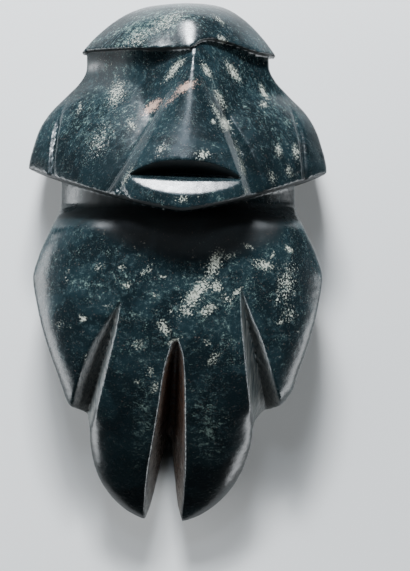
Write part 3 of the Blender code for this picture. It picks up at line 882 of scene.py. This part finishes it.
def under_jaw_shade(points, normals):
    """Painted shade on the neck, in the corner above the chest and on the undersides of the head,
    where the jaw's shadow falls. The same values also roughen these places.
    """
    x, y = points[:, 0], points[:, 1]
    reach = NECK_REACH + CHEST_REACH * (1 - ramp(y, *NECK_FOOT))
    middle = 1 - ramp(np.abs(x - JAW_SHADE_X), reach, reach + JAW_SHADE_EDGE)
    below_jaw = y < jaw_edge(x) - JAW_CLEAR
    neck = ramp(y, jaw_shade_edge(x), jaw_shade_edge(x) + JAW_SHADE_RISE) * below_jaw * middle
    undersides = ramp(y, *UNDERSIDES) * ramp(-normals[:, 1], *FACING_LEGS)
    return JAW_SHADE * np.maximum(neck, undersides)


def painted_shade_areas(points):
    """Painted shade that darkens the legs towards their tips, the low cheeks and the right ear."""
    x, y = points[:, 0], points[:, 1]
    cheeks = CHEEK_SHADE * ramp(y, *LOW_CHEEKS) * (1 - ramp(y, *HIGH_CHEEKS))
    cheeks *= ramp(np.abs(x), *CHEEK_SIDES)
    ear = EAR_SHADE * ramp(x, *EAR_SIDE) * (y > LOW_CHEEKS[0])
    legs = 1 - ramp(y, *LEG_SHADE)
    return np.maximum(legs, np.maximum(cheeks, ear))


def add_marks(mesh, points, sawn):
    """Point values that the material reads, from the points as they were before the relief."""
    x, y = points[:, 0], points[:, 1]
    shade_and_dull = under_jaw_shade(points, read_normals(mesh))
    earth = patches(points, EARTH) * sawn
    temples = ramp(y, *TEMPLES) * ramp(np.abs(x), *CHEEK_SIDES) * (y < brow_edge(x))
    off_x, off_y = (x - RUBBED_X) / RUBBED_WIDTH, (y - RUBBED_Y) / RUBBED_HEIGHT
    rubbed = np.exp(-(off_x**2) - off_y**2)
    marks = {
        "pale": patches(points, PALE),
        "pink": patches(points, PINK),
        "green": patches(points, GREEN),
        "sawn": sawn,
        "earth": earth,
        # Painted shade: towards the legs, on the low cheeks and the right ear, and under the jaw.
        "painted_shade": np.maximum(painted_shade_areas(points), shade_and_dull),
        "hollow": np.maximum(temples, EARTH_SHINE * earth),
        "shade_and_dull": np.maximum(shade_and_dull, TEMPLE_GRIME * temples * (x < 0) * (1 - rubbed)),
    }
    for name, values in marks.items():
        made = mesh.attributes.new(name, "FLOAT", "POINT")
        made.data.foreach_set("value", values.astype(np.float32))


# ------------------------------------------------------------ material
BLACK_GREEN = (0.0045, 0.0100, 0.0125, 1)
DEEP_TEAL = (0.009, 0.021, 0.026, 1)
MID_TEAL = (0.029, 0.052, 0.057, 1)
LIGHT_TEAL = (0.19, 0.26, 0.225, 1)
CREAM = (0.52, 0.54, 0.45, 1)
ROSE = (0.50, 0.33, 0.26, 1)
SAWN_GREY = (0.15, 0.15, 0.14, 1)
BROWN = (0.090, 0.042, 0.024, 1)
WHITE = (1, 1, 1, 1)
SHADE = (0.20, 0.19, 0.18, 1)           # what the painted shade multiplies the colours by at its strongest

POLISHED, MOTTLED = 0.21, 0.32          # roughness of the dark ground and of its mottle
# What the other marks add to it.
CREAM_ROUGHNESS, SAWN_ROUGHNESS, GRIME_ROUGHNESS, HOLLOW_ROUGHNESS = 0.12, 0.10, 0.32, -0.10

# How much longer the grain is along each axis. The stone is layered parallel to its back, so the
# grain draws out along the slopes, and saw lines run along the cuts.
GRAIN, CLOUDS, SPECKS, SAW_LINES = (1, 1, 0.28), (1, 1, 0.5), (1, 1, 0.4), (0.5, 14, 0.5)

COLOUR_A, COLOUR_B, MIXED_COLOUR = 6, 7, 2        # sockets of a Mix node that mixes colours


class Nodes:
    """Short calls that build a material's node tree."""

    def __init__(self, material):
        material.use_nodes = True
        self.tree = material.node_tree
        self.shader = self.tree.nodes["Principled BSDF"]

    def link(self, value, socket):
        if isinstance(value, bpy.types.NodeSocket):
            self.tree.links.new(value, socket)
        else:
            socket.default_value = value

    def math(self, operation, a, b):
        node = self.tree.nodes.new("ShaderNodeMath")
        node.operation = operation
        self.link(a, node.inputs[0])
        self.link(b, node.inputs[1])
        return node.outputs[0]

    def share(self, value, factor):
        return self.math("MULTIPLY", value, factor)

    def add(self, value, other, factor=1.0):
        """value plus the given share of other."""
        return self.math("ADD", value, self.share(other, factor) if factor != 1.0 else other)

    def attribute(self, name):
        node = self.tree.nodes.new("ShaderNodeAttribute")
        node.attribute_name = name
        return node.outputs["Fac"]

    def place(self, stretch):
        """Object coordinates in millimetres, stretched along each axis."""
        where = self.tree.nodes.new("ShaderNodeTexCoord")
        mapping = self.tree.nodes.new("ShaderNodeMapping")
        mapping.vector_type = "TEXTURE"
        self.link(where.outputs["Object"], mapping.inputs["Vector"])
        mapping.inputs["Scale"].default_value = [MM * s for s in stretch]
        return mapping.outputs[0]

    def noise(self, place, size, detail, rough, distortion=0.0):
        """Random values from 0 to 1, with spots about one size across, in millimetres."""
        node = self.tree.nodes.new("ShaderNodeTexNoise")
        self.link(place, node.inputs["Vector"])
        node.inputs["Scale"].default_value = 1 / size
        node.inputs["Detail"].default_value = detail
        node.inputs["Roughness"].default_value = rough
        node.inputs["Distortion"].default_value = distortion
        return node.outputs["Fac"]

    def ramp(self, value, low, high, to_low=0.0, to_high=1.0):
        """to_low below low, to_high above high, and smooth between."""
        node = self.tree.nodes.new("ShaderNodeMapRange")
        node.interpolation_type = "SMOOTHSTEP"
        self.link(value, node.inputs["Value"])
        self.link(low, node.inputs["From Min"])
        self.link(high, node.inputs["From Max"])
        self.link(to_low, node.inputs["To Min"])
        self.link(to_high, node.inputs["To Max"])
        return node.outputs["Result"]

    def mix(self, factor, a, b, blend="MIX"):
        node = self.tree.nodes.new("ShaderNodeMix")
        node.data_type = "RGBA"
        node.blend_type = blend
        self.link(factor, node.inputs["Factor"])
        self.link(a, node.inputs[COLOUR_A])
        self.link(b, node.inputs[COLOUR_B])
        return node.outputs[MIXED_COLOUR]

    def bump(self, height, strength, distance, normal=None):
        """Relief in the shading, as deep as distance in millimetres, on top of normal."""
        node = self.tree.nodes.new("ShaderNodeBump")
        node.inputs["Strength"].default_value = strength
        node.inputs["Distance"].default_value = distance * MM
        self.link(height, node.inputs["Height"])
        if normal is not None:
            self.link(normal, node.inputs["Normal"])
        return node.outputs[0]


def stone_material():
    """Polished dark blue-green stone, mottled and veined, sawn grey in its grooves, with shade
    painted in on the legs, low cheeks, right ear and under the jaw.
    """
    material = bpy.data.materials.new("stone")
    n = Nodes(material)
    names = ("pale", "pink", "green", "painted_shade", "sawn", "earth", "hollow", "shade_and_dull")
    pale, pink, green, painted_shade, sawn, earth, hollow, shade_and_dull = (n.attribute(name) for name in names)
    here = n.place(GRAIN)

    # The ground mass: cloudy dark green, with a fine granular mottle.
    cloud = n.noise(n.place(CLOUDS), size=16.0, detail=3.0, rough=0.55, distortion=0.6)
    mottle = n.noise(here, size=2.2, detail=8.0, rough=0.76, distortion=0.2)
    cluster = n.noise(here, size=5.0, detail=3.0, rough=0.6)
    fine = n.noise(n.place(SPECKS), size=0.5, detail=3.0, rough=0.7)
    # Painted shade also thins out the pale grain where it falls.
    lift = n.math("SUBTRACT", n.share(green, 0.19), n.share(painted_shade, 0.10))
    grain = n.ramp(n.add(mottle, n.add(lift, cloud, 0.16)), 0.58, 0.82)
    sharp = n.add(n.add(n.add(fine, grain, 0.14), lift, 0.4), cluster, 0.40)
    colour = n.mix(n.ramp(cloud, 0.38, 0.64), BLACK_GREEN, DEEP_TEAL)
    colour = n.mix(grain, colour, MID_TEAL)
    colour = n.mix(n.ramp(sharp, 0.84, 0.98), colour, LIGHT_TEAL)

    # Pale and pinkish grain, thick in its patches, and the pale also thinly scattered elsewhere.
    drift = n.ramp(n.noise(here, size=7.0, detail=4.0, rough=0.6, distortion=1.0), 0.56, 0.74)
    density = n.math("MAXIMUM", n.share(pale, 0.74), n.share(drift, 0.2))
    speck = n.ramp(n.noise(here, size=0.75, detail=4.0, rough=0.75), 0.30, 0.70)
    cream = n.ramp(n.add(speck, density), 0.98, 1.20)
    colour = n.mix(n.share(cream, 0.9), colour, CREAM)
    rose = n.ramp(n.add(speck, pink), 0.90, 1.15)
    colour = n.mix(n.share(rose, 0.85), colour, ROSE)
    # Painted shade: the colours darken towards the legs, on the low cheeks and right ear, and under
    # the jaw.
    colour = n.mix(1.0, colour, n.mix(n.share(painted_shade, 0.85), WHITE, SHADE), "MULTIPLY")

    # Sawn walls: greyer, with lines along the cut, and brown earth deep in the leg groove.
    lines = n.noise(n.place(SAW_LINES), size=1.0, detail=3.0, rough=0.6)
    grey = n.mix(n.ramp(lines, 0.3, 0.7), DEEP_TEAL, SAWN_GREY)
    colour = n.mix(n.share(sawn, 0.8), colour, grey)
    earthy = n.math("MULTIPLY", earth, n.ramp(mottle, 0.3, 0.6))
    colour = n.mix(n.share(earthy, 0.9), colour, BROWN)
    n.link(colour, n.shader.inputs["Base Color"])

    gloss = n.ramp(mottle, 0.3, 0.8, POLISHED, MOTTLED)
    gloss = n.add(n.add(gloss, cream, CREAM_ROUGHNESS), sawn, SAWN_ROUGHNESS)
    gloss = n.add(n.add(gloss, shade_and_dull, GRIME_ROUGHNESS), hollow, HOLLOW_ROUGHNESS)
    n.link(gloss, n.shader.inputs["Roughness"])

    pits = n.bump(n.noise(here, size=0.8, detail=4.0, rough=0.6), 0.22, 0.10)
    dents = n.bump(n.share(cream, -1.0), 0.35, 0.12, pits)
    saw = n.bump(n.math("MULTIPLY", lines, sawn), 0.7, 0.35, dents)
    n.link(saw, n.shader.inputs["Normal"])
    return material


# ------------------------------------------------------------ floor, light and camera, in metres
FLOOR_SIZE = 6.0
FLOOR_COLOUR = (0.82, 0.82, 0.81, 1)
FLOOR_ROUGHNESS = 0.85
ROOM_COLOUR, ROOM_STRENGTH = (0.93, 0.97, 1.0, 1), 0.010

CHEST = (0, 0.03, 0.03)                 # where most of the lights aim
COOL, BLUISH = (0.93, 0.97, 1.0), (0.74, 0.86, 1.0)
# Lights: name, place, aim, width and height, watts, colour. The key and the spark give the
# highlights on forehead, nose and lip, the next three a weak sheen, and the long strips at the
# sides the bright rims.
LIGHTS = [
    ("key", (-0.045, 0.563, 0.465), CHEST, (0.26, 0.08), 5.5, (0.88, 0.94, 1.0)),
    ("spark", (-0.035, 0.60, 0.42), CHEST, (0.17, 0.06), 8.6, (0.92, 0.96, 1.0)),
    ("sky", (-0.06, 0.66, 0.42), CHEST, (0.56, 0.34), 0.3, (0.80, 0.90, 1.0)),
    ("top", (-0.06, 0.40, 0.64), (0, 0.06, 0.04), (0.16, 0.10), 0.55, BLUISH),
    ("upper_left", (-0.12, 0.54, 0.54), CHEST, (0.28, 0.24), 0.3, BLUISH),
    ("left", (-0.55, -0.12, 0.15), (0, 0.0, 0.02), (0.68, 0.16), 4.4, COOL),
    ("right", (0.54, -0.32, 0.14), (0, -0.05, 0.02), (0.82, 0.14), 4.2, COOL),
]

LENS, SENSOR = 135.0, 36.0              # millimetres, as are these
FRAME_HEIGHT = 219.6                    # seen from top to bottom of the picture
FOCUS_HEIGHT = 20.0                     # at this height above the floor
AIM_X, AIM_Y = 10.4, 91.3               # figure's x and y at the middle of the picture


def plain_floor():
    bpy.ops.mesh.primitive_plane_add(size=FLOOR_SIZE, location=(0, 0, 0))
    floor = bpy.context.object
    floor.name = "floor"
    material = bpy.data.materials.new("floor")
    shader = Nodes(material).shader
    shader.inputs["Base Color"].default_value = FLOOR_COLOUR
    shader.inputs["Roughness"].default_value = FLOOR_ROUGHNESS
    floor.data.materials.append(material)


def studio():
    """A faint even room light, and the lights."""
    world = bpy.data.worlds.new("studio")
    bpy.context.scene.world = world
    world.use_nodes = True
    room = world.node_tree.nodes["Background"]
    room.inputs["Color"].default_value = ROOM_COLOUR
    room.inputs["Strength"].default_value = ROOM_STRENGTH
    for name, place, aim, (width, height), watts, colour in LIGHTS:
        light = bpy.data.lights.new(name, "AREA")
        light.shape = "RECTANGLE"
        light.size, light.size_y = width, height
        light.energy = watts
        light.color = colour
        lamp = bpy.data.objects.new(name, light)
        bpy.context.scene.collection.objects.link(lamp)
        lamp.location = place
        lamp.rotation_euler = (Vector(aim) - Vector(place)).to_track_quat("-Z", "Y").to_euler()


def camera_above(base):
    """A camera that looks straight down, as an unturned one does. base is the figure's origin."""
    data = bpy.data.cameras.new("camera")
    data.lens, data.sensor_width = LENS, SENSOR
    eye = bpy.data.objects.new("camera", data)
    bpy.context.scene.collection.objects.link(eye)
    distance = FRAME_HEIGHT / 2 / (SENSOR / 2 / LENS)
    eye.location = Vector((AIM_X, AIM_Y, FOCUS_HEIGHT + distance)) * MM - base
    bpy.context.scene.camera = eye


# ------------------------------------------------------------ build
def centre_on_base(thing):
    """Puts the origin at the middle of the base of the object's box, and says where that was."""
    places = read_points(thing.data)
    low, high = places.min(axis=0), places.max(axis=0)
    base = np.array([(low[0] + high[0]) / 2, (low[1] + high[1]) / 2, 0.0])
    write_points(thing.data, places - base)
    return Vector(base) * MM


axe = worn_figure()
axe.name = axe.data.name = "axe_stone"
points = read_points(axe.data)
sawn = in_grooves(points)
add_relief(axe.data, points, sawn)
add_marks(axe.data, points, sawn)
base = centre_on_base(axe)
axe.data.materials.clear()
axe.data.materials.append(stone_material())
axe.data.shade_smooth()
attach(axe, "root")
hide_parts("axe_figure")

plain_floor()
studio()
camera_above(base)
